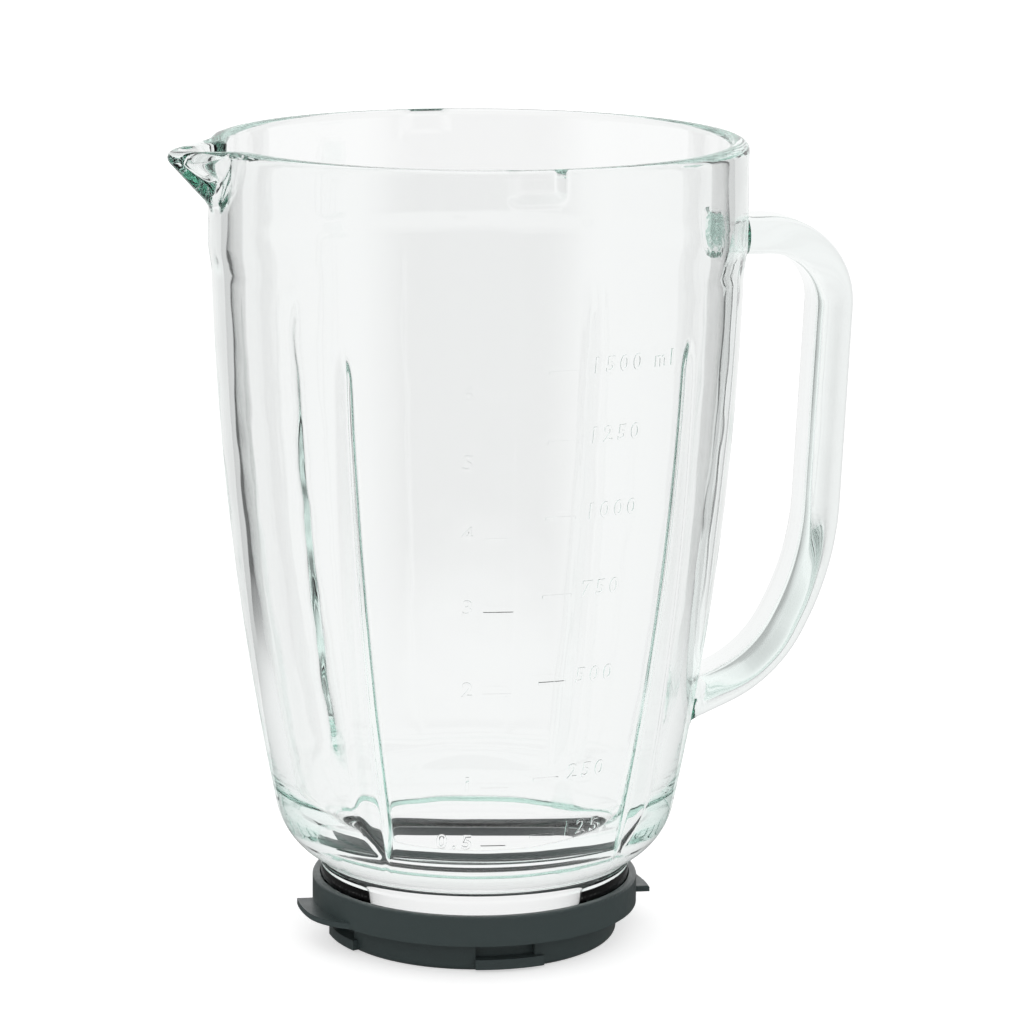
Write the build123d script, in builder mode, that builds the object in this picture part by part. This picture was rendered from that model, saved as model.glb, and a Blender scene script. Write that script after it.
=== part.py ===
from build123d import *
from math import acos, atan2, cos, degrees, radians, sin, sqrt, tan
import os

# Driving dimensions in millimetres: Z is up, the handle is on +X and the spout on -X

# Base collar
skirt_outer_r = 39.4        # lower ring that drops into the motor base
skirt_wall = 3.0
skirt_height = 8.7
skirt_edge_round = 2.0
band_step = 5.6             # upper ring, which holds the glass foot, outside the lower one
band_wall = 2.0
band_height = 8.2
band_edge_round = 0.9
ledge_thickness = 1.8       # floor inside the band that the seal lies on
lug_depth = 1.7             # bayonet lugs stand out from the skirt by this much
lug_height = 2.8
lug_lift = 0.9              # lugs above the standing edge
lug_sweeps = ((258.0, 27.0), (0.0, 24.0))    # start and width, degrees, of each half-turn pair
pocket_margin = 3.0         # degrees by which a pocket is narrower than its lug
pocket_depth = 2.1          # blind, so the skirt stays closed behind it
pocket_top_gap = 0.6        # web left between a pocket and the band
wing_reach = 4.5            # wings stand out from the band by this much
wing_thickness = 1.6
wing_start = -5.0           # straight edge of the +X wing, degrees
wing_blunt_sweep = 16.0     # full-width stretch, degrees
wing_tail_sweep = 20.0      # tapering stretch, degrees
wing_edge_round = 0.5
bead_height = 1.3           # snap bead inside the band
bead_depth = 0.5

# Foot seal
seal_thickness = 1.4
seal_side_gap = 0.3

# Glass jar
foot_gap = 0.3              # between the glass foot and the band
foot_wall = 6.5             # glass thickness at the foot
neck_above_band = 6.3       # glass neck that shows above the collar
neck_round = 2.4            # outside, under the heel
mouth_rise = 10.0           # edge between floor and funnel, above the neck
funnel_reach = 6.8          # widening of the funnel from the foot to that edge
mouth_round = 1.5
heel_rise = 14.4            # rounded heel between the neck and the wall
heel_reach = 12.2
wall_height = 148.4         # tapered wall, heel to shoulder
wall_flare = 16.9
wall_bulge = 3.3
wall_low = 5.7              # glass thickness where the wall turns into the floor
shoulder_height = 6.5
shoulder_step = 0.9
rim_band_height = 28.5
rim_wall = 5.3
seat_step = 1.0             # inside step below the rim band, where a lid comes to rest
rim_outer_round = 2.4
rim_inner_round = 1.9
floor_rise = 10.0           # the wall turns into the floor this much above the heel

# Ribs inside the glass
rib_depth_low = 4.8         # at the floor
rib_depth_high = 2.0        # at the upper end
rib_flank = 48.0            # slant of the flanks against the wall, degrees
rib_body = 6.0              # nose to back of the wedge, part of which lies in the wall
rib_nose_round = 1.2
rib_end_round = 8.0         # the nose turns into the wall at the upper end
rib_end_turn = 60.0
rib_top_drop = 20.5         # below the shoulder
rib_angles = (47.0, 131.0, 227.0, 311.0)    # degrees from the handle

# Lid locking recesses in the rim
recess_width = 15.6
recess_height = 9.3
recess_depth = 2.4
recess_corner = 0.8         # at the far face
recess_draft = 38.0         # slant of the sides, degrees

# Spout
spout_reach = 15.5
spout_tip_r = 7.0
spout_half_angle = 15.0
spout_drop = 19.1
spout_wall = 4.4
spout_root_sink = 1.8       # foot of the spout inside the face of the rim band
spout_dip = 0.3             # lip below the rim where it leaves it
spout_slope = 4.0           # fall of the lip towards its tip, degrees
spout_lip_round = 2.0
channel_half_angle = 12.5
channel_drop = 12.0

# Handle
handle_width = 21.0
handle_thickness = 10.4
handle_drop = 27.6          # centre of the upper arm below the rim
handle_reach = 27.3         # centre of the grip outside the rim band
grip_length = 91.3          # straight grip, corner to corner
grip_lean = 4.1
elbow_drop = 29.4           # slanting stretch below the grip
elbow_run = 14.9
lower_arm_slope = 0.42
upper_bend_r = 19.0
grip_bend_r = 78.0
lower_bend_r = 37.0
handle_root_round = 2.0

# Heights and radii that follow from the sizes above
band_bottom_z = skirt_height
band_top_z = band_bottom_z + band_height
band_outer_r = skirt_outer_r + band_step
band_inner_r = band_outer_r - band_wall
skirt_inner_r = skirt_outer_r - skirt_wall
skirt_lug_r = skirt_outer_r - skirt_wall / 2
pocket_r = skirt_outer_r - pocket_depth
pocket_height = band_bottom_z - pocket_top_gap - lug_lift - lug_height
ledge_top_z = band_bottom_z + ledge_thickness
wing_top_z = band_bottom_z + wing_thickness
wing_tail_r = band_outer_r - band_wall / 2
foot_z = ledge_top_z + seal_thickness
neck_outer_r = band_inner_r - foot_gap
foot_inner_r = neck_outer_r - foot_wall
neck_top_z = band_top_z + neck_above_band
heel_top_r = neck_outer_r + heel_reach
heel_top_z = neck_top_z + heel_rise
shoulder_r = heel_top_r + wall_flare
shoulder_z = heel_top_z + wall_height
rim_outer_r = shoulder_r + shoulder_step
rim_band_z = shoulder_z + shoulder_height
rim_z = rim_band_z + rim_band_height
rim_inner_r = rim_outer_r - rim_wall
seat_r = rim_inner_r - seat_step
floor_top_z = heel_top_z + floor_rise
mouth_z = neck_top_z + mouth_rise
mouth_r = foot_inner_r + funnel_reach
bead_z = (foot_z + band_top_z) / 2
upper_arm_z = rim_z - handle_drop
grip_x = rim_outer_r + handle_reach
elbow_x = grip_x - grip_lean
elbow_z = upper_arm_z - grip_length
arm_x = elbow_x - elbow_run
arm_z = elbow_z - elbow_drop
root_x = neck_outer_r
root_z = arm_z - (arm_x - root_x) * lower_arm_slope
spout_tip_x = rim_outer_r + spout_reach
spout_root_r = rim_inner_r
spout_root_x = rim_outer_r - spout_root_sink
channel_r = rim_inner_r - rim_inner_round
channel_tip_x = spout_tip_x - spout_wall
channel_tip_r = spout_tip_r - spout_wall / 2
channel_root_r = channel_r - spout_wall
channel_root_x = rim_inner_r - rim_inner_round
recess_face_y = rim_inner_r + recess_depth
recess_draw = recess_depth * tan(radians(recess_draft))
recess_face_width = recess_width - 2 * recess_draw
recess_face_height = 2 * (recess_height - recess_draw)
rib_top_z = shoulder_z - rib_top_drop
rib_half_width = rib_body / tan(radians(rib_flank))


def polar(radius, angle):
    """Point at a radius and an angle in degrees round the jar's axis."""
    return (radius * cos(radians(angle)), radius * sin(radians(angle)))


def wall_rise(low, high, bulge, end):
    """Upward direction of a bulging wall; end is 1 for its low end and -1 for its high end."""
    run = high[0] - low[0]
    rise = high[1] - low[1]
    chord = sqrt(run * run + rise * rise)
    radius = chord * chord / (8 * bulge) + bulge / 2
    sin_half = end * chord / (2 * radius)
    cos_half = sqrt(1 - sin_half * sin_half)
    along = (run / chord, rise / chord)
    outward = (along[1], -along[0])
    return (along[0] * cos_half + outward[0] * sin_half, along[1] * cos_half + outward[1] * sin_half)


def wall_tangent(low, high, bulge):
    """Downward direction of a bulging wall at its low end."""
    rise = wall_rise(low, high, bulge, 1)
    return (-rise[0], -rise[1])


def arc_middle(low, high, bulge):
    """Middle point of a wall that bulges outwards between two points."""
    run = high[0] - low[0]
    rise = high[1] - low[1]
    chord = sqrt(run * run + rise * rise)
    return (
        (low[0] + high[0]) / 2 + bulge * rise / chord,
        (low[1] + high[1]) / 2 - bulge * run / chord,
    )


def wall_radius(low, high, bulge, z):
    """Radius of a bulging wall at a height between its two ends."""
    middle = arc_middle(low, high, bulge)
    wall = ThreePointArc(low, middle, high, mode=Mode.PRIVATE)
    centre = wall.arc_center
    return centre.X + sqrt(wall.radius ** 2 - (z - centre.Y) ** 2)


def beak_outline(base_r, tip_x, tip_r, half_angle):
    """Plan of the pouring lip: flanks from the round wall, drawn to a rounded tip on -X."""
    base = polar(base_r, 180 - half_angle)
    centre_x = -(tip_x - tip_r)
    gap = sqrt((base[0] - centre_x) ** 2 + base[1] ** 2)
    turn = degrees(atan2(base[1], base[0] - centre_x)) + degrees(acos(tip_r / gap))
    touch = (centre_x + tip_r * cos(radians(turn)), tip_r * sin(radians(turn)))
    with BuildLine() as edge:
        Polyline((0, 0), base, touch)
        ThreePointArc(touch, (-tip_x, 0), (touch[0], -touch[1]))
        Polyline((touch[0], -touch[1]), (base[0], -base[1]), (0, 0))
    return edge.edges()


def wing_outline(start):
    """Plan of a collar wing: straight radial edge, round stretch and a tail that runs into the band."""
    wing_r = band_outer_r + wing_reach
    blunt_end = start + wing_blunt_sweep
    tail_end = blunt_end + wing_tail_sweep
    with BuildLine() as edge:
        Line(polar(band_inner_r, start), polar(wing_r, start))
        CenterArc((0, 0), wing_r, start, wing_blunt_sweep)
        TangentArc(
            polar(wing_r, blunt_end),
            polar(wing_tail_r, tail_end),
            tangent=polar(1, blunt_end + 90),
        )
        Polyline(
            polar(wing_tail_r, tail_end),
            polar(band_inner_r, tail_end),
        )
        CenterArc((0, 0), band_inner_r, tail_end, start - tail_end)
    return edge.edges()


def stands_out(edge):
    """Whether an edge lies clear of the collar's band."""
    middle = edge @ 0.5
    return sqrt(middle.X ** 2 + middle.Y ** 2) > band_outer_r + wing_edge_round


def ring_sector(inner_r, outer_r, start, sweep_angle):
    """Plan of a stretch of ring between two radii."""
    end = start + sweep_angle
    with BuildLine() as edge:
        Line(polar(inner_r, start), polar(outer_r, start))
        CenterArc((0, 0), outer_r, start, sweep_angle)
        Line(polar(outer_r, end), polar(inner_r, end))
        CenterArc((0, 0), inner_r, end, -sweep_angle)
    return edge.edges()


heel_top = (heel_top_r, heel_top_z)
shoulder_low = (shoulder_r, shoulder_z)
floor_top_r = wall_radius(heel_top, shoulder_low, wall_bulge, floor_top_z) - wall_low
floor_top = (floor_top_r, floor_top_z)
mouth = (mouth_r, mouth_z)
inner_shoulder = (seat_r, shoulder_z)
crest_bulge = wall_bulge * ((rib_top_z - floor_top_z) / (shoulder_z - floor_top_z)) ** 2
crest_low = (floor_top_r - rib_depth_low, floor_top_z)
crest_high = (wall_radius(floor_top, inner_shoulder, wall_bulge, rib_top_z) - rib_depth_high, rib_top_z)
crest_fall = wall_tangent(crest_low, crest_high, crest_bulge)
crest_foot = (crest_low[0] + crest_fall[0] * (crest_low[1] - foot_z) / -crest_fall[1], foot_z)

# Stirring rib: a wedge with a rounded nose, which deepens towards the floor
with BuildPart() as rib:
    with BuildLine(Plane.XZ) as rib_path:
        Line(crest_foot, crest_low)
        ThreePointArc(crest_low, arc_middle(crest_low, crest_high, crest_bulge), crest_high)
        JernArc(crest_high, wall_rise(crest_low, crest_high, crest_bulge, -1), rib_end_round, -rib_end_turn)
    foot_plane = Plane(
        origin=(crest_foot[0], 0, crest_foot[1]),
        x_dir=(0, 1, 0),
        z_dir=(-crest_fall[0], 0, -crest_fall[1]),
    )
    with BuildSketch(foot_plane) as rib_section:
        with BuildLine():
            Polyline((-rib_half_width, -rib_body), (0, 0), (rib_half_width, -rib_body), close=True)
        make_face()
        fillet(rib_section.vertices().sort_by_distance((0, 0))[0], rib_nose_round)
    sweep(path=rib_path.wires()[0])

# Room inside the jar, which the glass goes round
with BuildPart() as jar_inside:
    # Lid seat, tapered wall, round floor and the funnel through the neck
    with BuildSketch(Plane.XZ) as hollow:
        with BuildLine():
            Polyline((0, foot_z), (foot_inner_r, foot_z), mouth)
            TangentArc(floor_top, mouth, tangent=wall_tangent(floor_top, inner_shoulder, wall_bulge))
            ThreePointArc(floor_top, arc_middle(floor_top, inner_shoulder, wall_bulge), inner_shoulder)
            Line(inner_shoulder, (rim_inner_r, rim_band_z))
            Line((rim_inner_r, rim_band_z), (rim_inner_r, rim_z - rim_inner_round))
            RadiusArc(
                (rim_inner_r, rim_z - rim_inner_round),
                (rim_inner_r + rim_inner_round, rim_z),
                rim_inner_round,
            )
            Line((rim_inner_r + rim_inner_round, rim_z), (0, rim_z))
            Line((0, rim_z), (0, foot_z))
        make_face()
        fillet(hollow.vertices().sort_by_distance(mouth)[0], mouth_round)
    revolve(axis=Axis.Z)

    # Ribs taken out of the room
    for rib_angle in rib_angles:
        add(rib.part, rotation=(0, 0, rib_angle), mode=Mode.SUBTRACT)

    # Pouring channel through the rim into the spout
    with BuildSketch(Plane.XY.offset(rim_z)):
        make_face(beak_outline(channel_r, channel_tip_x, channel_tip_r, channel_half_angle))
    with BuildSketch(Plane.XY.offset(rim_z - channel_drop)):
        make_face(beak_outline(channel_root_r, channel_root_x, channel_tip_r, channel_half_angle))
    loft()

# Pouring lip, standing out from the rim band and drawn in to the wall below
with BuildPart() as spout_beak:
    with BuildSketch(Plane.XY.offset(rim_z)):
        make_face(beak_outline(rim_outer_r, spout_tip_x, spout_tip_r, spout_half_angle))
    with BuildSketch(Plane.XY.offset(rim_z - spout_drop)):
        make_face(beak_outline(spout_root_r, spout_root_x, spout_tip_r, spout_half_angle))
    loft()
    # The lip slopes down to its tip
    lip_plane = Plane(
        origin=(-rim_inner_r, 0, rim_z - spout_dip),
        z_dir=(-sin(radians(spout_slope)), 0, cos(radians(spout_slope))),
    )
    split(bisect_by=lip_plane, keep=Keep.BOTTOM)
    fillet(spout_beak.faces().filter_by(lip_plane)[0].edges().sort_by(Axis.X)[:3], spout_lip_round)

# Glass jar: one pressing, with its spout, handle, ribs and lid recesses
with BuildPart() as glass_jar:
    # Outside of the jar as a solid of revolution
    with BuildSketch(Plane.XZ) as outside:
        with BuildLine():
            Line((0, foot_z), (neck_outer_r, foot_z))
            Line((neck_outer_r, foot_z), (neck_outer_r, neck_top_z))
            TangentArc(
                heel_top,
                (neck_outer_r, neck_top_z),
                tangent=wall_tangent(heel_top, shoulder_low, wall_bulge),
            )
            ThreePointArc(heel_top, arc_middle(heel_top, shoulder_low, wall_bulge), shoulder_low)
            Line(shoulder_low, (rim_outer_r, rim_band_z))
            Line((rim_outer_r, rim_band_z), (rim_outer_r, rim_z - rim_outer_round))
            RadiusArc(
                (rim_outer_r, rim_z - rim_outer_round),
                (rim_outer_r - rim_outer_round, rim_z),
                -rim_outer_round,
            )
            Line((rim_outer_r - rim_outer_round, rim_z), (0, rim_z))
            Line((0, rim_z), (0, foot_z))
        make_face()
        fillet(outside.vertices().sort_by_distance((neck_outer_r, neck_top_z))[0], neck_round)
    revolve(axis=Axis.Z)

    # Handle swept along straight runs and tangent bends
    with BuildLine(Plane.XZ) as handle_path:
        FilletPolyline(
            (rim_inner_r, upper_arm_z),
            (grip_x, upper_arm_z),
            (elbow_x, elbow_z),
            (arm_x, arm_z),
            (root_x, root_z),
            radius=(upper_bend_r, grip_bend_r, lower_bend_r),
        )
    with BuildSketch(Plane(origin=(rim_inner_r, 0, upper_arm_z), x_dir=(0, 1, 0), z_dir=(1, 0, 0))):
        SlotOverall(handle_width, handle_thickness)
    sweep(path=handle_path.wires()[0])
    fillet(glass_jar.edges(Select.NEW), handle_root_round)

    # Spout, joined before the hollow opens it
    add(spout_beak.part)

    # Hollow of the jar and its pouring channel
    add(jar_inside.part, mode=Mode.SUBTRACT)

    # Lid locking recesses with slanting sides, open at the rim
    for side in (1, -1):
        recess_face = Plane(origin=(0, side * recess_face_y, rim_z), x_dir=(1, 0, 0), z_dir=(0, -side, 0))
        with BuildSketch(recess_face):
            RectangleRounded(recess_face_width, recess_face_height, recess_corner)
        extrude(amount=2 * recess_depth, taper=-recess_draft, mode=Mode.SUBTRACT)

    # Groove in the foot for the collar's snap bead
    with BuildSketch(Plane.XZ):
        with Locations((neck_outer_r, bead_z)):
            Rectangle(2 * (bead_depth + foot_gap), bead_height + 2 * foot_gap)
    revolve(axis=Axis.Z, mode=Mode.SUBTRACT)

# Base collar: moulded ring with wings and bayonet lugs
with BuildPart() as base_collar:
    with BuildSketch(Plane.XZ):
        with BuildLine():
            Polyline(
                (skirt_inner_r, 0),
                (skirt_outer_r, 0),
                (skirt_outer_r, band_bottom_z),
                (band_outer_r, band_bottom_z),
                (band_outer_r, band_top_z),
                (band_inner_r, band_top_z),
                (band_inner_r, ledge_top_z),
                (skirt_inner_r, ledge_top_z),
                close=True,
            )
        make_face()
    revolve(axis=Axis.Z)
    fillet(base_collar.edges().group_by(Axis.Z)[-1].sort_by(SortBy.RADIUS)[-1], band_edge_round)
    fillet(base_collar.edges().group_by(Axis.Z)[0].sort_by(SortBy.RADIUS)[-1], skirt_edge_round)

    # Snap bead inside the band
    with BuildSketch(Plane.XZ):
        with Locations((band_inner_r, bead_z)):
            Rectangle(2 * bead_depth, bead_height)
    revolve(axis=Axis.Z)

    # Wings low on the band
    for turn in (0, 180):
        with BuildSketch(Plane.XY.offset(band_bottom_z)):
            make_face(wing_outline(wing_start + turn))
        extrude(amount=wing_thickness)
    for wing_top in base_collar.faces().filter_by_position(Axis.Z, wing_top_z, wing_top_z):
        fillet(wing_top.edges().filter_by(stands_out), wing_edge_round)

    # Bayonet lugs with a blind pocket above each
    for start, width in lug_sweeps:
        for turn in (0, 180):
            with BuildSketch(Plane.XY.offset(lug_lift)):
                make_face(ring_sector(skirt_lug_r, skirt_outer_r + lug_depth, start + turn, width))
            extrude(amount=lug_height)
            with BuildSketch(Plane.XY.offset(lug_lift + lug_height)):
                make_face(
                    ring_sector(
                        pocket_r,
                        skirt_outer_r + lug_depth,
                        start + turn,
                        width - pocket_margin,
                    )
                )
            extrude(amount=pocket_height, mode=Mode.SUBTRACT)

# Foot seal: flat ring between the glass foot and the collar's ledge
with BuildPart() as foot_seal:
    with BuildSketch(Plane.XY.offset(ledge_top_z)):
        Circle(band_inner_r - seal_side_gap)
        Circle(skirt_inner_r + seal_side_gap, mode=Mode.SUBTRACT)
    extrude(amount=seal_thickness)

os.makedirs("parts", exist_ok=True)
for name, piece in (("glass_jar", glass_jar), ("base_collar", base_collar), ("foot_seal", foot_seal)):
    piece.part.label = name
    export_step(piece.part, f"parts/{name}.step")
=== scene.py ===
from math import acos, asin, atan, atan2, cos, degrees, hypot, pi, radians, sin, sqrt, tan

import bmesh
import bpy
from mathutils import Matrix, Vector


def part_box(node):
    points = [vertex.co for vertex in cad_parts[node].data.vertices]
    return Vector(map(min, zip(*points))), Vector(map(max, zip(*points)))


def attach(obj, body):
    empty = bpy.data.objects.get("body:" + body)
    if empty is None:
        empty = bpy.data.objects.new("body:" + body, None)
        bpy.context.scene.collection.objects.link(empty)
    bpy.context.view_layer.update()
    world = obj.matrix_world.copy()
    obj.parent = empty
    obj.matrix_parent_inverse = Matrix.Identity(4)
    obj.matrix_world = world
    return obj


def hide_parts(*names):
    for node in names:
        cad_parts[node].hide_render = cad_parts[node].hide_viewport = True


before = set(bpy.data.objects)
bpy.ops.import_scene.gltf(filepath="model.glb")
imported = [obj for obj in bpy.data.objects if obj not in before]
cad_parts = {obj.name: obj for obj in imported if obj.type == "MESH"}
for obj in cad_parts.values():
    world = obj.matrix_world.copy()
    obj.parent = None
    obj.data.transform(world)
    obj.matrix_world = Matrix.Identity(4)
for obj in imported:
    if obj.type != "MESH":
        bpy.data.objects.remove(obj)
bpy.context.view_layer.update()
jar_low, jar_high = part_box("glass_jar")

mm = 0.001

# Glass jar in millimetres: Z is up, the handle is on +X and the spout on -X
foot_z = jar_low.z / mm
rim_z = jar_high.z / mm
rim_outer_r = jar_high.y / mm
rim_band_height = 28.5
rim_wall = 5.3
rim_outer_round = 2.4
rim_inner_round = 1.9
lip_share = 0.8                 # most of the lip's top that its inner round takes
shoulder_height = 6.5
shoulder_step = 0.9
shoulder_round = 1.6
seat_step = 1.0
wall_height = 148.4
wall_flare = 16.9
wall_bulge = 3.3
wall_low = 5.7
heel_rise = 14.4
heel_reach = 12.2
neck_round = 2.4
foot_wall = 6.5
floor_rise = 10.0
mouth_rise = 10.0
funnel_reach = 6.8
mouth_round = 1.5
groove_z = 14.4
groove_height = 1.9
groove_depth = 0.8

# Ribs inside the glass: wedges with a rounded nose
rib_depth_low = 4.8
rib_depth_high = 2.0
rib_flank = 48.0                # degrees
rib_nose_round = 1.2
rib_end_round = 8.0
rib_top_drop = 20.5
rib_foot_round = 1.6            # softness of their meeting with the wall
rib_angles = (47.0, 131.0, 227.0, 311.0)
rib_zone = 8.0                  # reach to each side of the mesh columns that follow a rib

# Lid locking recesses in the rim
recess_angles = (90.0, 270.0)
recess_width = 15.6
recess_height = 9.3
recess_depth = 1.7
recess_corner = 2.7
recess_slope = 25.0             # slant of the sides from the wall, degrees

# Spout
spout_angle = 180.0
spout_reach = 15.5
spout_tip_r = 7.0
spout_half_angle = 15.0
spout_drop = 19.1
spout_wall = 4.4
spout_root_sink = 1.8
spout_dip = 0.3
spout_slope = 4.0
spout_lip_round = 2.0
channel_half_angle = 12.5
channel_drop = 12.0
spout_blend = 2.0               # softness of its meeting with the rim band
spout_side = 8.0                # degrees over which the rim falls to the spout's lip

# Handle
handle_width = 21.0
handle_thickness = 10.4
handle_drop = 27.6
handle_reach = 27.3
grip_length = 91.3
grip_lean = 4.1
elbow_drop = 29.4
elbow_run = 14.9
lower_arm_slope = 0.42
upper_bend_r = 19.0
grip_bend_r = 78.0
lower_bend_r = 37.0
handle_root_round = 2.0
upper_root_sink = 2.5           # ends of the handle inside the wall
lower_root_sink = 5.0
handle_step = 1.6               # spacing of the handle's sections

# Raised measuring scale on the front of the wall: heights of the marks
scale_ml = (
    ("125", 42.2), ("250", 58.5), ("500", 85.6), ("750", 109.5),
    ("1000", 130.5), ("1250", 150.7), ("1500 ml", 169.0),
)
scale_cups = (
    ("0.5", 39.6), ("1", 56.2), ("2", 82.8), ("3", 105.4),
    ("4", 125.2), ("5", 144.2), ("6", 162.3),
)
scale_angle = 269.1             # middle of the scale, degrees
tick_start = 3.3                # degrees from the middle of the scale
tick_sweep = 6.8
tick_height = 0.9
digit_start = 12.5
digit_height = 4.0
digit_lift = -0.5               # foot of a number above its mark
digit_slant = 0.06
digit_spacing = 1.45
font_cap_share = 0.7            # height of a figure in the font's size
mark_relief = 0.28
mark_root = 0.3                 # foot of the marks inside the wall
mark_edge = 0.15                # width of their rounded edges

# Steps of the mesh along the lines and rounds of the jar
foot_steps = 6
heel_steps = 22
wall_steps = 40
inner_wall_steps = 48
shoulder_steps = 4
floor_steps = 24
funnel_steps = 10
corner_steps = 6
lip_steps = 6
rim_outside_steps = 18
rim_inside_steps = 22
handle_end_steps = 16
tick_steps = 8
figure_curve_steps = 4
figure_edge_steps = 1
weld_distance = 0.001           # points closer than this become one
crease_angle = 35.0             # sharper edges are not shaded smooth, degrees

# Columns of the mesh round the jar
plain_steps = 9                 # from a rib to the next fine zone
fine_zones = (                  # middle, reach to each side, steps
    (0.0, 10.0, 8), (90.0, 10.0, 40), (180.0, 23.0, 76), (270.0, 10.0, 40),
)
# Places of the columns that follow a rib, from its middle
rib_half = [0.3, 0.6, 0.9, 1.2, 1.6, 2.1, 2.6, 3.1, 3.6, 4.2, 4.8, 5.6, 6.6, rib_zone]
rib_columns = [-across for across in rib_half[::-1]] + [0.0] + rib_half

# Materials: a sheen is the scale of its noise and the range of its roughness,
# a grain is the scale of its noise and its height in metres
white = (1, 1, 1, 1)
glass_ior = 1.5
glass_tint = (0.5, 0.87, 0.76, 1)
glass_density = 3.9
ripple_grain = (55.0, 0.00012)
ripple_detail = 1.0
collar_colour = (0.056, 0.076, 0.076, 1)    # satin dark slate plastic
collar_sheen = (420.0, 0.28, 0.36)
collar_grain = (2600.0, 0.00004)
seal_colour = (0.74, 0.75, 0.74, 1)         # pale silicone, a little cloudy
seal_sheen = (160.0, 0.5, 0.68)
seal_grain = (1500.0, 0.00005)
sheen_detail = 3.0
sheen_low = 0.3                 # part of the noise that the roughness follows
sheen_high = 0.7
grain_detail = 2.0
floor_colour = (0.8, 0.8, 0.8, 1)

# The photograph's camera, from rings fitted to the rim, the collar and the lid seat
photo_side = 1024               # pixels
camera_distance = 1.1193        # from the jar's axis, metres
camera_height = 0.3539
camera_azimuth = -12.6          # degrees round the jar from its front
camera_pitch = -11.88
camera_roll = 0.42
focal_pixels = 4187.8
axis_pixel = 475.7              # column of the jar's axis in the photograph
sensor_width = 36.0
camera_near = 0.01              # metres

# Studio, as glass and gloss show it: angles are degrees away from the view, round the jar
through_level = 0.97            # seen straight through the glass
fall_start = 6.0                # the white backdrop grows a little darker towards its sides
fall_end = 32.0
fall_level = 0.76
gap_start = 44.0                # dark gap between the white backdrop and the white sides
gap_end = 58.0
gap_edge = 2.0
gap_level = 0.05
room_start = 120.0              # dim room on the camera's side
room_end = 150.0
room_level = 0.12
clear_start = 0.0               # white above the gaps and the room, degrees above the floor
clear_end = 6.0
fill_level = 0.9                # light from all round
floor_lift = 0.55               # keeps the floor white to the camera
floor_reach = 6.0               # metres
floor_clear = 0.2               # floor round the jar that glows plain white to glass and gloss (painted light), metres
glass_bounces = 32              # light is reflected many times in thick glass before it comes out

# Heights and radii that follow
rim_inner_r = rim_outer_r - rim_wall
rim_band_z = rim_z - rim_band_height
shoulder_r = rim_outer_r - shoulder_step
shoulder_z = rim_band_z - shoulder_height
seat_r = rim_inner_r - seat_step
heel_top_r = shoulder_r - wall_flare
heel_top_z = shoulder_z - wall_height
neck_outer_r = heel_top_r - heel_reach
foot_inner_r = neck_outer_r - foot_wall
neck_top_z = heel_top_z - heel_rise
floor_top_z = heel_top_z + floor_rise
mouth = (foot_inner_r + funnel_reach, neck_top_z + mouth_rise)
rib_top_z = shoulder_z - rib_top_drop
spout_tip_x = rim_outer_r + spout_reach


def link(obj):
    """Puts an object in the scene."""
    bpy.context.scene.collection.objects.link(obj)
    return obj


class Arc:
    """Wall line that bulges outwards between two points (radius, height)."""

    def __init__(self, low, high, bulge):
        run = high[0] - low[0]
        rise = high[1] - low[1]
        chord = hypot(run, rise)
        self.low = low
        self.high = high
        self.radius = chord * chord / (8 * bulge) + bulge / 2
        sink = self.radius - bulge
        self.centre = (
            (low[0] + high[0]) / 2 - sink * rise / chord,
            (low[1] + high[1]) / 2 + sink * run / chord,
        )

    def at(self, z):
        """Radius at a height."""
        return self.centre[0] + sqrt(self.radius ** 2 - (z - self.centre[1]) ** 2)

    def fall(self):
        """Downward direction at the low end."""
        out = (self.low[0] - self.centre[0], self.low[1] - self.centre[1])
        size = hypot(*out)
        return (out[1] / size, -out[0] / size)

    def points(self, count):
        """Points from the low end to the high end."""
        step = (self.high[1] - self.low[1]) / count
        heights = [self.low[1] + step * k for k in range(count + 1)]
        return [(self.at(z), z) for z in heights]


def tangent_arc(start, direction, end, count):
    """Points of the arc that leaves start along a direction and reaches end."""
    chord = (end[0] - start[0], end[1] - start[1])
    normal = (-direction[1], direction[0])
    reach = (chord[0] ** 2 + chord[1] ** 2) / (2 * (normal[0] * chord[0] + normal[1] * chord[1]))
    centre = (start[0] + normal[0] * reach, start[1] + normal[1] * reach)
    first = atan2(start[1] - centre[1], start[0] - centre[0])
    last = atan2(end[1] - centre[1], end[0] - centre[0])
    turn = (last - first + pi) % (2 * pi) - pi
    angles = [first + turn * k / count for k in range(count + 1)]
    return [(centre[0] + abs(reach) * cos(a), centre[1] + abs(reach) * sin(a)) for a in angles]


def run(start, end, count):
    """Points of a straight run, without its last one."""
    shares = [k / count for k in range(count)]
    return [(start[0] + (end[0] - start[0]) * t, start[1] + (end[1] - start[1]) * t) for t in shares]


def soften(points, corner, reach, count):
    """Rounds a line's corner: what lies within reach of it becomes a curve."""
    near = [k for k, p in enumerate(points) if hypot(p[0] - corner[0], p[1] - corner[1]) < reach]

    def pull(p):
        share = reach / hypot(p[0] - corner[0], p[1] - corner[1])
        return [corner[i] + (p[i] - corner[i]) * share for i in (0, 1)]

    first = pull(points[near[0] - 1])
    last = pull(points[near[-1] + 1])
    curve = []
    for k in range(count + 1):
        t = k / count
        curve.append(tuple(
            first[i] * (1 - t) ** 2 + 2 * corner[i] * t * (1 - t) + last[i] * t * t for i in (0, 1)
        ))
    return points[:near[0]] + curve + points[near[-1] + 1:]


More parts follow.
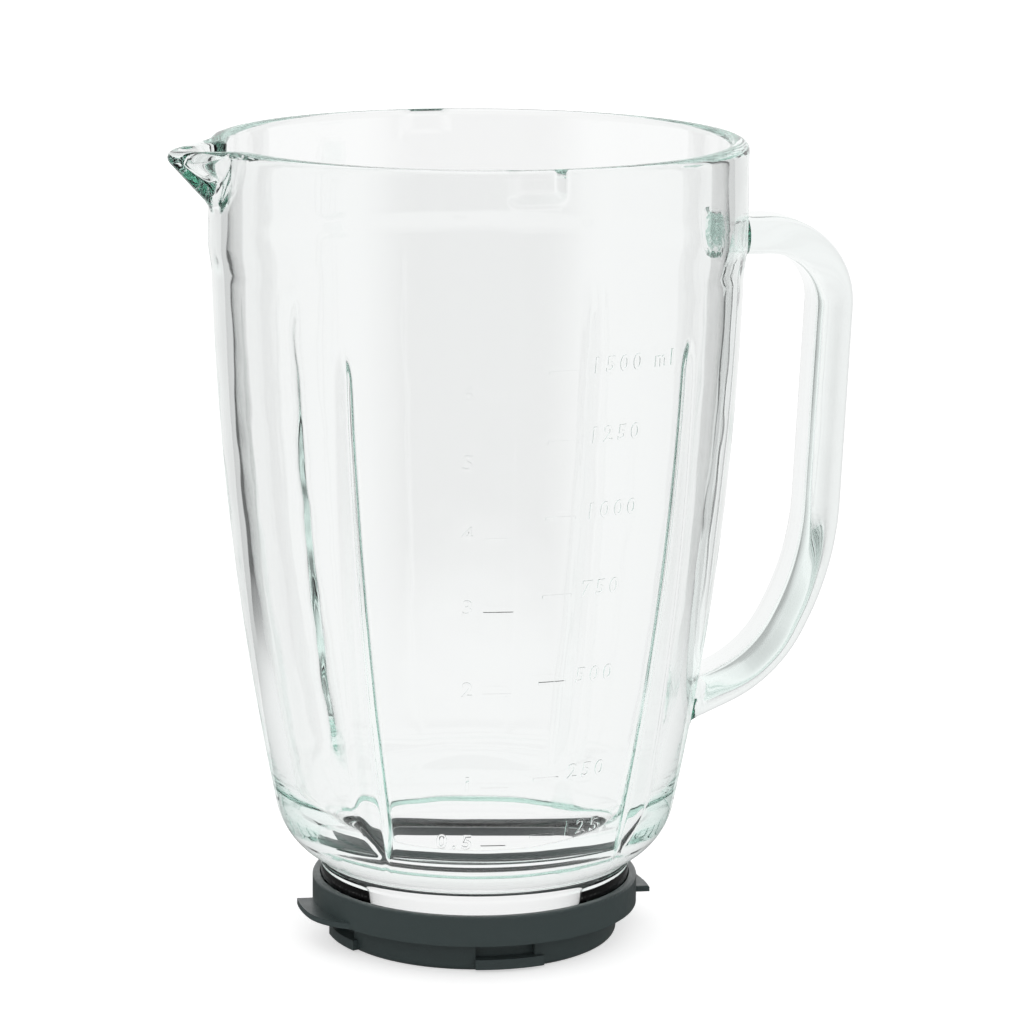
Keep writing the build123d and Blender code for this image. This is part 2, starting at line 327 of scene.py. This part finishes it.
outer_wall = Arc((heel_top_r, heel_top_z), (shoulder_r, shoulder_z), wall_bulge)
floor_top_r = outer_wall.at(floor_top_z) - wall_low
inner_wall = Arc((floor_top_r, floor_top_z), (seat_r, shoulder_z), wall_bulge)
rib_crest = Arc(
    (floor_top_r - rib_depth_low, floor_top_z),
    (inner_wall.at(rib_top_z) - rib_depth_high, rib_top_z),
    wall_bulge * ((rib_top_z - floor_top_z) / (shoulder_z - floor_top_z)) ** 2,
)


def outside_radius(z):
    """Radius of the jar's outside, without the spout, from the heel to the rim."""
    if z > rim_band_z:
        return rim_outer_r
    if z > shoulder_z:
        return shoulder_r + shoulder_step * (z - shoulder_z) / shoulder_height
    return outer_wall.at(z)


def outside_line():
    """Outside of the jar from its foot to the rim band."""
    corner = (neck_outer_r, neck_top_z)
    groove_low = groove_z - groove_height / 2
    groove_high = groove_z + groove_height / 2
    line = [
        (neck_outer_r, foot_z),
        (neck_outer_r, groove_low),
        (neck_outer_r - groove_depth, groove_low),
        (neck_outer_r - groove_depth, groove_high),
    ]
    line += run((neck_outer_r, groove_high), corner, foot_steps)
    line += tangent_arc(outer_wall.low, outer_wall.fall(), corner, heel_steps)[::-1]
    line = soften(line, corner, neck_round, corner_steps)
    line += outer_wall.points(wall_steps)[1:]
    band = (rim_outer_r, rim_band_z)
    line += run(outer_wall.high, band, shoulder_steps)[1:]
    line += run(band, (rim_outer_r, rim_band_z + shoulder_height), shoulder_steps)
    line = soften(line, outer_wall.high, shoulder_round, shoulder_steps)
    return soften(line, band, shoulder_round, shoulder_steps)


def inside_line():
    """Inside of the jar from the rim band to its foot."""
    band = (rim_inner_r, rim_band_z)
    line = run((rim_inner_r, rim_band_z + shoulder_height), band, shoulder_steps)
    line += run(band, inner_wall.high, shoulder_steps)
    line += inner_wall.points(inner_wall_steps)[::-1]
    line = soften(line, band, shoulder_round, shoulder_steps)
    line = soften(line, inner_wall.high, shoulder_round, shoulder_steps)
    line += tangent_arc(inner_wall.low, inner_wall.fall(), mouth, floor_steps)[1:]
    line += run(mouth, (foot_inner_r, foot_z), funnel_steps)[1:]
    line = soften(line, mouth, mouth_round, corner_steps)
    return line + [(foot_inner_r, foot_z)]


def soft_max(a, b, softness):
    """Larger of two values, with a smooth change from one to the other."""
    h = max(softness - abs(a - b), 0) / softness
    return max(a, b) + h * h * softness / 4


def smooth_step(value, low, high):
    """Smooth rise from 0 to 1 between two values."""
    t = min(max((value - low) / (high - low), 0), 1)
    return t * t * (3 - 2 * t)


def between(angle, middle):
    """Signed angle in degrees from a middle to an angle."""
    return (angle - middle + 180) % 360 - 180


def beak_radius(off, base_r, tip_x, tip_r, half_angle):
    """Distance from the axis to the spout's plan, at an angle in degrees from its middle."""
    angle = radians(min(abs(off), half_angle))
    base = (base_r * cos(radians(half_angle)), base_r * sin(radians(half_angle)))
    centre = tip_x - tip_r
    gap = hypot(base[0] - centre, base[1])
    turn = atan2(base[1], base[0] - centre) - acos(tip_r / gap)
    touch = (centre + tip_r * cos(turn), tip_r * sin(turn))
    if angle < atan2(touch[1], touch[0]):
        return centre * cos(angle) + sqrt(tip_r ** 2 - (centre * sin(angle)) ** 2)
    edge = (touch[0] - base[0], touch[1] - base[1])
    return (base[0] * edge[1] - base[1] * edge[0]) / (cos(angle) * edge[1] - sin(angle) * edge[0])


def spout_outside(off, z):
    """Radius of the rim band's outside at an angle from the spout's middle."""
    share = (z - rim_z) / spout_drop + 1
    if share < 0 or abs(off) > spout_half_angle + spout_side:
        return outside_radius(z)
    top = beak_radius(off, rim_outer_r, spout_tip_x, spout_tip_r, spout_half_angle)
    low = beak_radius(off, rim_inner_r, rim_outer_r - spout_root_sink, spout_tip_r, spout_half_angle)
    return soft_max(outside_radius(z), low + (top - low) * share, spout_blend)


def spout_inside(off, z):
    """Radius of the rim band's inside at an angle from the spout's middle."""
    share = (z - rim_z) / channel_drop + 1
    if share < 0 or abs(off) > channel_half_angle + spout_side:
        return rim_inner_r
    tip_r = spout_tip_r - spout_wall / 2
    mouth_r = rim_inner_r - rim_inner_round
    top = beak_radius(off, mouth_r, spout_tip_x - spout_wall, tip_r, channel_half_angle)
    low = beak_radius(off, mouth_r - spout_wall, mouth_r, tip_r, channel_half_angle)
    return soft_max(rim_inner_r, low + (top - low) * share, spout_blend)


def rim_height(off):
    """Height of the rim at an angle from the spout's middle: it dips towards the spout's tip."""
    reach = beak_radius(off, rim_outer_r, spout_tip_x, spout_tip_r, spout_half_angle) - rim_inner_r
    fall = spout_dip + reach * tan(radians(spout_slope))
    return rim_z - fall * smooth_step(-abs(off), -spout_half_angle - spout_side, -spout_half_angle / 2)


def recess_sink(angle, z):
    """Depth of the lid recesses at an angle and a height."""
    sink = 0.0
    for middle in recess_angles:
        off = between(angle, middle)
        side = rim_inner_r * abs(sin(radians(off))) - recess_width / 2
        down = rim_z - recess_height - z
        if abs(off) < 90:
            inset = (max(side + recess_corner, 0), max(down + recess_corner, 0))
            outside = hypot(*inset) - recess_corner if max(inset) > 0 else max(side, down)
            sink = min(max(-outside * tan(radians(recess_slope)), 0), recess_depth)
    return sink


def lip_round(corner, slope, radius, side):
    """Rounding between a lip's leaning flank and its top; side is 1 outside and -1 inside."""
    lean = atan(slope * side)
    back = radius / tan((pi / 2 - lean) / 2)
    centre = (corner[0] - side * back, corner[1] - radius)
    turns = [-lean + (pi / 2 + lean) * k / lip_steps for k in range(lip_steps + 1)]
    return [(centre[0] + side * radius * cos(a), centre[1] + radius * sin(a)) for a in turns], back


def rim_section(angle):
    """Section of the rim band at an angle: up the outside, over the lip and down the inside."""
    off = between(angle, spout_angle)
    top = rim_height(off)
    start = rim_band_z + shoulder_height

    def outside(z):
        return spout_outside(off, z)

    def inside(z):
        return spout_inside(off, z) + recess_sink(angle, z)

    slope = outside(top) - outside(top - 1)
    share = min(slope, 1)
    radius = rim_outer_round * (1 - share) + spout_lip_round * share
    outer, back = lip_round((outside(top), top), slope, radius, 1)
    room = outside(top) - back - inside(top)
    slope = inside(top) - inside(top - 1)
    inner, _ = lip_round((inside(top), top), slope, min(rim_inner_round, room * lip_share), -1)
    rise = spread(start, outer[0][1], rim_outside_steps)
    fall = spread(inner[0][1], start, rim_inside_steps)[1:]
    section = [(outside(z), z) for z in rise] + outer + inner[::-1]
    return section + [(inside(z), z) for z in fall]


def rib_face(across, z):
    """Distance of a rib's face from the axis, at a distance across it and a height."""
    flank = radians(rib_flank)
    if z >= rib_crest.low[1]:
        crest = rib_crest.at(min(z, rib_top_z))
    else:
        slope = rib_crest.fall()
        crest = rib_crest.low[0] + slope[0] * (rib_crest.low[1] - z) / -slope[1]
    over = min(max(z - rib_top_z, 0), rib_end_round)
    crest += rib_end_round - sqrt(rib_end_round ** 2 - over ** 2)
    if abs(across) > rib_nose_round * sin(flank):
        return crest + abs(across) * tan(flank)
    return crest + rib_nose_round / cos(flank) - sqrt(rib_nose_round ** 2 - across ** 2)


def inside_point(angle, radius, z):
    """Point on the inside of the jar with its ribs, in the jar's plan."""
    for middle in rib_angles:
        off = radians(between(angle, middle))
        across = radius * sin(off)
        if cos(off) > 0 and abs(across) < rib_zone and z < rib_top_z + rib_end_round:
            along = -soft_max(-radius * cos(off), -rib_face(across, z), rib_foot_round)
            turn = radians(middle)
            return (along * cos(turn) - across * sin(turn), along * sin(turn) + across * cos(turn))
    return (radius * cos(radians(angle)), radius * sin(radians(angle)))


def spread(start, end, count):
    """Evenly spaced values from start up to, but without, end."""
    return [start + (end - start) * k / count for k in range(count)]


def column_angles(radius):
    """Angles of the mesh's columns at a radius: close at ribs, recesses and spout."""
    zone = degrees(asin(rib_zone / radius))
    angles = []
    lows = (rib_angles[-1] - 360,) + rib_angles
    for low, high, (middle, reach, count) in zip(lows, rib_angles, fine_zones):
        angles += spread(low + zone, middle - reach, plain_steps)[1:]
        angles += spread(middle - reach, middle + reach, count)
        angles += spread(middle + reach, high - zone, plain_steps)
        angles += [high + degrees(asin(across / radius)) for across in rib_columns]
    return angles


def jar_rows():
    """Rings of points up the jar's outside, over its rim and down its inside."""
    rows = []
    for radius, z in outside_line():
        turns = [radians(angle) for angle in column_angles(radius)]
        rows.append([(radius * cos(a), radius * sin(a), z) for a in turns])
    angles = column_angles(rim_outer_r)
    sections = [rim_section(angle) for angle in angles]
    for points in zip(*sections):
        rows.append([
            (r * cos(radians(a)), r * sin(radians(a)), z) for a, (r, z) in zip(angles, points)
        ])
    for radius, z in inside_line():
        rows.append([inside_point(angle, radius, z) + (z,) for angle in column_angles(radius)])
    return rows


def ring_mesh(name, rows, closed):
    """Mesh from rings of points joined to one another: closed into a loop, or capped at both ends."""
    columns = len(rows[0])
    points = [tuple(v * mm for v in p) for row in rows for p in row]
    faces = []
    for i in range(len(rows) if closed else len(rows) - 1):
        low = i * columns
        high = (i + 1) % len(rows) * columns
        for j in range(columns):
            k = (j + 1) % columns
            faces.append((low + j, low + k, high + k, high + j))
    if not closed:
        faces.append(tuple(range(columns))[::-1])
        faces.append(tuple(range(len(points) - columns, len(points))))
    mesh = bpy.data.meshes.new(name)
    mesh.from_pydata(points, [], faces)
    outward(mesh)
    return mesh


def outward(mesh):
    """Joins a closed mesh's doubled points and turns its faces outwards."""
    work = bmesh.new()
    work.from_mesh(mesh)
    bmesh.ops.remove_doubles(work, verts=work.verts, dist=weld_distance * mm)
    if work.calc_volume(signed=True) < 0:
        bmesh.ops.reverse_faces(work, faces=work.faces)
    work.to_mesh(mesh)
    work.free()


def bent_path(corners, radii, step):
    """Points and directions along straight runs joined by tangent bends."""
    stops = [(Vector(corners[0]), (Vector(corners[1]) - Vector(corners[0])).normalized())]
    for before, corner, after, radius in zip(corners, corners[1:], corners[2:], radii):
        corner = Vector(corner)
        way_in = (corner - Vector(before)).normalized()
        way_out = (Vector(after) - corner).normalized()
        turn = way_in.angle_signed(way_out)
        back = radius * tan(abs(turn) / 2)
        count = max(2, round(radius * abs(turn) / step))
        side = Vector((way_in.y, -way_in.x)) * (1 if turn > 0 else -1)
        centre = corner - way_in * back + side * radius
        for k in range(count + 1):
            spin = Matrix.Rotation(-turn * k / count, 2)
            stops.append((centre - spin @ (side * radius), spin @ way_in))
    stops.append((Vector(corners[-1]), (Vector(corners[-1]) - Vector(corners[-2])).normalized()))
    path = []
    for (p, d), (q, e) in zip(stops, stops[1:]):
        count = max(1, round((q - p).length / step))
        for k in range(count):
            t = k / count
            path.append((p.lerp(q, t), d.lerp(e, t).normalized()))
    path.append(stops[-1])
    return path


def slot_section():
    """Handle's section with its outward directions: (across, thick, across out, thick out)."""
    end_r = handle_thickness / 2
    flat = handle_width / 2 - end_r
    half = []
    for k in range(handle_end_steps + 1):
        turn = -pi / 2 + pi * k / handle_end_steps
        half.append((flat + end_r * cos(turn), end_r * sin(turn), cos(turn), sin(turn)))
    half += [(across, end_r, 0.0, 1.0) for across in (flat / 2, 0.0, -flat / 2)]
    return half + [tuple(-v for v in point) for point in half]


def root_flare(gap):
    """Widening of the handle's section at a distance from the wall, so that it meets it in a round."""
    if gap >= handle_root_round:
        return 0.0
    rest = handle_root_round - max(gap, 0.0)
    return handle_root_round - sqrt(handle_root_round ** 2 - rest ** 2)


def handle_rows():
    """Sections along the handle, flared where it runs into the wall."""
    upper_z = rim_z - handle_drop
    grip_x = rim_outer_r + handle_reach
    elbow = (grip_x - grip_lean, upper_z - grip_length)
    arm = (elbow[0] - elbow_run, elbow[1] - elbow_drop)
    root_x = outside_radius(arm[1]) - lower_root_sink
    root = (root_x, arm[1] - (arm[0] - root_x) * lower_arm_slope)
    corners = [(rim_outer_r - upper_root_sink, upper_z), (grip_x, upper_z), elbow, arm, root]
    rows = []
    for place, way in bent_path(corners, (upper_bend_r, grip_bend_r, lower_bend_r), handle_step):
        side = Vector((way.y, -way.x))
        row = []
        for across, thick, across_out, thick_out in slot_section():
            spot = place + side * thick
            gap = hypot(spot.x, across) - outside_radius(max(spot.y, heel_top_z))
            flare = root_flare(gap)
            spot = spot + side * (thick_out * flare)
            row.append((spot.x, across + across_out * flare, spot.y))
        rows.append(row)
    return rows


def wrap(mesh, angle, z):
    """Bends a flat mesh in millimetres onto the wall: x runs round it, y up it and z out of it."""
    for vertex in mesh.vertices:
        across, up, out = vertex.co
        radius = outside_radius(z + up) + out
        turn = radians(angle) + across / radius
        vertex.co = Vector((radius * cos(turn), radius * sin(turn), z + up)) * mm
    outward(mesh)
    return mesh


def baked(obj):
    """Mesh of an object as its modifiers leave it."""
    result = obj.evaluated_get(bpy.context.evaluated_depsgraph_get())
    return bpy.data.meshes.new_from_object(result)


def number_mesh(text, align):
    """Raised figures, flat, in millimetres."""
    curve = bpy.data.curves.new("number", "FONT")
    curve.body = text
    curve.align_x = align
    curve.size = digit_height / font_cap_share
    curve.shear = digit_slant
    curve.space_character = digit_spacing
    curve.extrude = mark_relief - mark_edge
    curve.bevel_depth = mark_edge
    curve.bevel_resolution = figure_edge_steps
    curve.resolution_u = figure_curve_steps
    figure = link(bpy.data.objects.new("number", curve))
    mesh = baked(figure)
    bpy.data.objects.remove(figure)
    return mesh


def tick_mesh(length):
    """Raised mark, flat, in millimetres: a bar with slanting sides."""
    edge = tick_height / 2
    section = [
        (-edge, -mark_root), (-edge, mark_relief - mark_edge), (mark_edge - edge, mark_relief),
        (edge - mark_edge, mark_relief), (edge, mark_relief - mark_edge), (edge, -mark_root),
    ]
    steps = [length * k / tick_steps for k in range(tick_steps + 1)]
    rows = [[(along, up, out) for up, out in section] for along in steps]
    mesh = ring_mesh("tick", rows, False)
    for vertex in mesh.vertices:
        vertex.co /= mm
    return mesh


def scale_marks():
    """The measuring scale: marks and numbers on the wall, as one mesh."""
    marks = bmesh.new()
    for scale, side, align in ((scale_ml, 1, "LEFT"), (scale_cups, -1, "RIGHT")):
        tick_angle = scale_angle + (tick_start if side > 0 else -tick_start - tick_sweep)
        digit_angle = scale_angle + side * digit_start
        for text, z in scale:
            length = radians(tick_sweep) * outside_radius(z)
            marks.from_mesh(wrap(tick_mesh(length), tick_angle, z))
            marks.from_mesh(wrap(number_mesh(text, align), digit_angle, z + digit_lift))
    mesh = bpy.data.meshes.new("scale")
    marks.to_mesh(mesh)
    marks.free()
    return mesh


def unite(obj, mesh):
    """Joins a closed mesh to an object as one skin."""
    other = link(bpy.data.objects.new(mesh.name, mesh))
    modifier = obj.modifiers.new("join", "BOOLEAN")
    modifier.operation = "UNION"
    modifier.solver = "MANIFOLD"
    modifier.object = other
    joined = baked(obj)
    obj.modifiers.clear()
    obj.data = joined
    bpy.data.objects.remove(other)


def make_jar(material):
    """Glass jar with its handle and scale as one skin, in the place of the CAD jar."""
    jar = link(bpy.data.objects.new("jar_glass", ring_mesh("jar", jar_rows(), True)))
    unite(jar, ring_mesh("handle", handle_rows(), False))
    unite(jar, scale_marks())
    jar.data.materials.clear()
    jar.data.materials.append(material)
    jar.data.shade_smooth()
    jar.data.set_sharp_from_angle(angle=radians(crease_angle))
    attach(jar, "root")
    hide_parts("glass_jar")


def make_camera():
    """Camera at the photograph's viewpoint, turned a little so that the jar stands left of centre."""
    data = bpy.data.cameras.new("camera")
    data.sensor_width = sensor_width
    data.lens = focal_pixels / photo_side * sensor_width
    data.clip_start = camera_near
    camera = link(bpy.data.objects.new("camera", data))
    azimuth = radians(camera_azimuth)
    yaw = atan((photo_side / 2 - axis_pixel) / focal_pixels)
    place = Vector((camera_distance * sin(azimuth), -camera_distance * cos(azimuth), camera_height))
    turn = (
        Matrix.Rotation(azimuth - yaw, 4, "Z")
        @ Matrix.Rotation(radians(90 + camera_pitch), 4, "X")
        @ Matrix.Rotation(radians(camera_roll), 4, "Z")
    )
    camera.matrix_world = Matrix.Translation(place) @ turn
    bpy.context.scene.camera = camera


def node_material(name):
    """New node material and its Principled shader."""
    material = bpy.data.materials.new(name)
    material.use_nodes = True
    return material, material.node_tree.nodes["Principled BSDF"]


def noise(tree, scale, detail):
    """Noise value in the object's own coordinates."""
    node = tree.nodes.new("ShaderNodeTexNoise")
    node.inputs["Scale"].default_value = scale
    node.inputs["Detail"].default_value = detail
    place = tree.nodes.new("ShaderNodeTexCoord")
    tree.links.new(place.outputs["Object"], node.inputs["Vector"])
    return node.outputs["Fac"]


def bump(tree, grain, detail, shader):
    """Gives a shader the relief of a grain."""
    scale, height = grain
    node = tree.nodes.new("ShaderNodeBump")
    node.inputs["Distance"].default_value = height
    tree.links.new(noise(tree, scale, detail), node.inputs["Height"])
    tree.links.new(node.outputs["Normal"], shader.inputs["Normal"])


def ramp(tree, value, start, end, low, high):
    """Smooth change from low to high while a value goes from start to end."""
    node = tree.nodes.new("ShaderNodeMapRange")
    node.interpolation_type = "SMOOTHSTEP"
    for name, number in zip(("From Min", "From Max", "To Min", "To Max"), (start, end, low, high)):
        node.inputs[name].default_value = number
    tree.links.new(value, node.inputs["Value"])
    return node.outputs["Result"]


def glass_material():
    """Clear pressed glass with a faint ripple, green where it is thick."""
    material, shader = node_material("jar_glass")
    tree = material.node_tree
    shader.inputs["Base Color"].default_value = white
    shader.inputs["Roughness"].default_value = 0.0
    shader.inputs["IOR"].default_value = glass_ior
    shader.inputs["Transmission Weight"].default_value = 1.0
    bump(tree, ripple_grain, ripple_detail, shader)
    absorb = tree.nodes.new("ShaderNodeVolumeAbsorption")
    absorb.inputs["Color"].default_value = glass_tint
    absorb.inputs["Density"].default_value = glass_density
    tree.links.new(absorb.outputs["Volume"], tree.nodes["Material Output"].inputs["Volume"])
    return material


def moulded_material(name, colour, sheen, grain):
    """Moulding with a slightly uneven sheen and a fine grain."""
    material, shader = node_material(name)
    tree = material.node_tree
    shader.inputs["Base Color"].default_value = colour
    scale, least, most = sheen
    roughness = ramp(tree, noise(tree, scale, sheen_detail), sheen_low, sheen_high, least, most)
    tree.links.new(roughness, shader.inputs["Roughness"])
    bump(tree, grain, grain_detail, shader)
    return material


def feed(tree, socket, value):
    """Gives a socket a plain number or the value of another socket."""
    if isinstance(value, (int, float)):
        socket.default_value = value
    else:
        tree.links.new(value, socket)


def compute(tree, operation, *values):
    """Result of a math node on sockets or plain numbers."""
    node = tree.nodes.new("ShaderNodeMath")
    node.operation = operation
    for socket, value in zip(node.inputs, values):
        feed(tree, socket, value)
    return node.outputs["Value"]


def off_view(tree, place):
    """Angle of a place or a direction away from the view, round the jar's axis."""
    turn = tree.nodes.new("ShaderNodeVectorRotate")
    turn.rotation_type = "Z_AXIS"
    turn.inputs["Angle"].default_value = -radians(camera_azimuth)
    tree.links.new(place, turn.inputs["Vector"])
    parts = tree.nodes.new("ShaderNodeSeparateXYZ")
    tree.links.new(turn.outputs["Vector"], parts.inputs["Vector"])
    return compute(tree, "ARCTAN2", compute(tree, "ABSOLUTE", parts.outputs["X"]), parts.outputs["Y"])


def blend(tree, factor, low, high):
    """Value between two, by a factor."""
    node = tree.nodes.new("ShaderNodeMix")
    tree.links.new(factor, node.inputs["Factor"])
    feed(tree, node.inputs["A"], low)
    feed(tree, node.inputs["B"], high)
    return node.outputs["Result"]


def in_glass(tree, path):
    """1 for a ray that glass or gloss has turned, else 0."""
    return compute(tree, "MAXIMUM", path.outputs["Is Glossy Ray"], path.outputs["Is Transmission Ray"])


def surroundings(tree, off, clear, path):
    """Level that glass and gloss show: white where clear, else with dark gaps and a dim room."""
    edge = radians(gap_edge)
    into = ramp(tree, off, radians(gap_start) - edge, radians(gap_start), 1.0, gap_level)
    fall = ramp(tree, off, radians(fall_start), radians(fall_end), 1.0, fall_level)
    into = compute(tree, "MULTIPLY", into, fall)
    out = ramp(tree, off, radians(gap_end), radians(gap_end) + edge, gap_level, 1.0)
    room = ramp(tree, off, radians(room_start), radians(room_end), 1.0, room_level)
    glass = compute(tree, "MINIMUM", compute(tree, "MAXIMUM", into, out), room)
    gloss = compute(tree, "MAXIMUM", into, room_level)
    # Glossy Depth counts reflections only: with none, the view goes straight through the glass
    turned = compute(tree, "GREATER_THAN", path.outputs["Glossy Depth"], 0.5)
    glass = blend(tree, turned, through_level, compute(tree, "MAXIMUM", glass, clear))
    return blend(tree, path.outputs["Is Transmission Ray"], gloss, glass)


def make_floor():
    """White floor that keeps the object's shadow; to glass and gloss it glows with painted studio light
    and shade instead.
    """
    mesh = bpy.data.meshes.new("floor")
    corners = [(x * floor_reach, y * floor_reach, 0) for x, y in ((-1, -1), (1, -1), (1, 1), (-1, 1))]
    mesh.from_pydata(corners, [], [(0, 1, 2, 3)])
    floor = link(bpy.data.objects.new("floor", mesh))
    material, shader = node_material("floor_white")
    tree = material.node_tree
    shader.inputs["Base Color"].default_value = floor_colour
    shader.inputs["Roughness"].default_value = 1.0
    shader.inputs["Specular IOR Level"].default_value = 0.0
    shader.inputs["Emission Color"].default_value = white
    path = tree.nodes.new("ShaderNodeLightPath")
    place = tree.nodes.new("ShaderNodeNewGeometry").outputs["Position"]
    lift = blend(tree, path.outputs["Is Camera Ray"], 0.0, floor_lift)
    tree.links.new(lift, shader.inputs["Emission Strength"])
    away = tree.nodes.new("ShaderNodeVectorMath")
    away.operation = "LENGTH"
    tree.links.new(place, away.inputs[0])
    near = ramp(tree, away.outputs["Value"], floor_clear, 2 * floor_clear, 1.0, 0.0)
    # Painted light and shade: glass and gloss see the floor glow, not lit: white round the jar, dark in
    # the gaps and dim towards the room
    glow = tree.nodes.new("ShaderNodeEmission")
    tree.links.new(surroundings(tree, off_view(tree, place), near, path), glow.inputs["Strength"])
    mix = tree.nodes.new("ShaderNodeMixShader")
    tree.links.new(in_glass(tree, path), mix.inputs["Fac"])
    tree.links.new(shader.outputs["BSDF"], mix.inputs[1])
    tree.links.new(glow.outputs["Emission"], mix.inputs[2])
    tree.links.new(mix.outputs["Shader"], tree.nodes["Material Output"].inputs["Surface"])
    mesh.materials.append(material)


def make_world():
    """White surroundings for the camera and for light; glass and gloss show more of the studio."""
    world = bpy.data.worlds.new("studio")
    bpy.context.scene.world = world
    world.use_nodes = True
    tree = world.node_tree
    path = tree.nodes.new("ShaderNodeLightPath")
    way = tree.nodes.new("ShaderNodeTexCoord").outputs["Generated"]
    parts = tree.nodes.new("ShaderNodeSeparateXYZ")
    tree.links.new(way, parts.inputs["Vector"])
    clear = ramp(tree, parts.outputs["Z"], sin(radians(clear_start)), sin(radians(clear_end)), 0.0, 1.0)
    shade = surroundings(tree, off_view(tree, way), clear, path)
    level = blend(tree, in_glass(tree, path), fill_level, shade)
    level = blend(tree, path.outputs["Is Camera Ray"], level, 1.0)
    background = tree.nodes["Background"]
    background.inputs["Color"].default_value = white
    tree.links.new(level, background.inputs["Strength"])


def deepen_light():
    """Follows light far enough through the glass."""
    cycles = bpy.context.scene.cycles
    cycles.max_bounces = glass_bounces
    cycles.glossy_bounces = glass_bounces
    cycles.transmission_bounces = glass_bounces


def dress(node, material):
    """Gives a CAD node its material."""
    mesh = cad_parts[node].data
    mesh.materials.clear()
    mesh.materials.append(material)


make_jar(glass_material())
dress("base_collar", moulded_material("collar_plastic", collar_colour, collar_sheen, collar_grain))
dress("foot_seal", moulded_material("seal_rubber", seal_colour, seal_sheen, seal_grain))
make_floor()
make_world()
deepen_light()
make_camera()
bpy.context.scene.view_settings.view_transform = "Standard"
